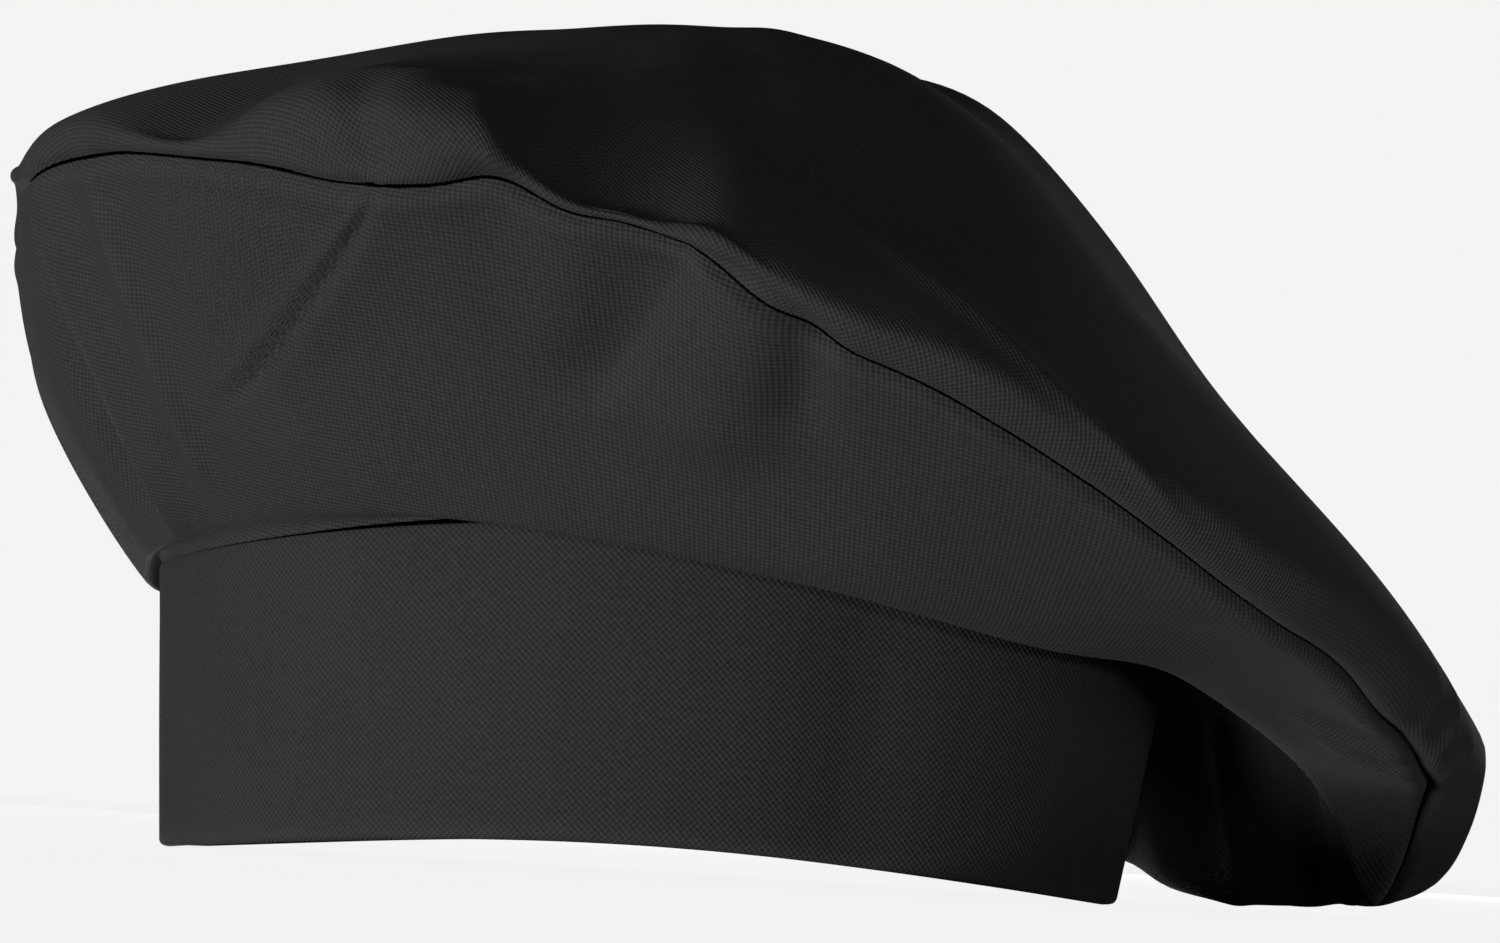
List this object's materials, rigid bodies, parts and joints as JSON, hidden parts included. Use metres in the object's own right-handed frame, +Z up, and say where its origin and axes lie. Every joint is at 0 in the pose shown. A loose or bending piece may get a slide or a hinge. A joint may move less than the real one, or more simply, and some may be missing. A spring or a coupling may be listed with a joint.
{
  "type": "slouch chef hat",
  "caption": "Soft black chef's hat: an upright oval headband with a wide, flared crown of twill that slumps towards the rear.",
  "frame": {"origin": "the floor point under the middle of the hat's bounding box", "axes": "-X is the wearer's front, +X the rear where the crown droops, -Y and +Y the sides, +Z up out of the crown"},
  "size_m": [0.304, 0.279, 0.1681],
  "materials": {
    "band_twill": "matt black cotton blend twill, doubled",
    "crown_twill": "matt black cotton blend twill, single"
  },
  "bodies": {
    "root": {"headband": "band_twill", "crown_side": "crown_twill", "crown_top": "crown_twill"}
  },
  "joints": []
}
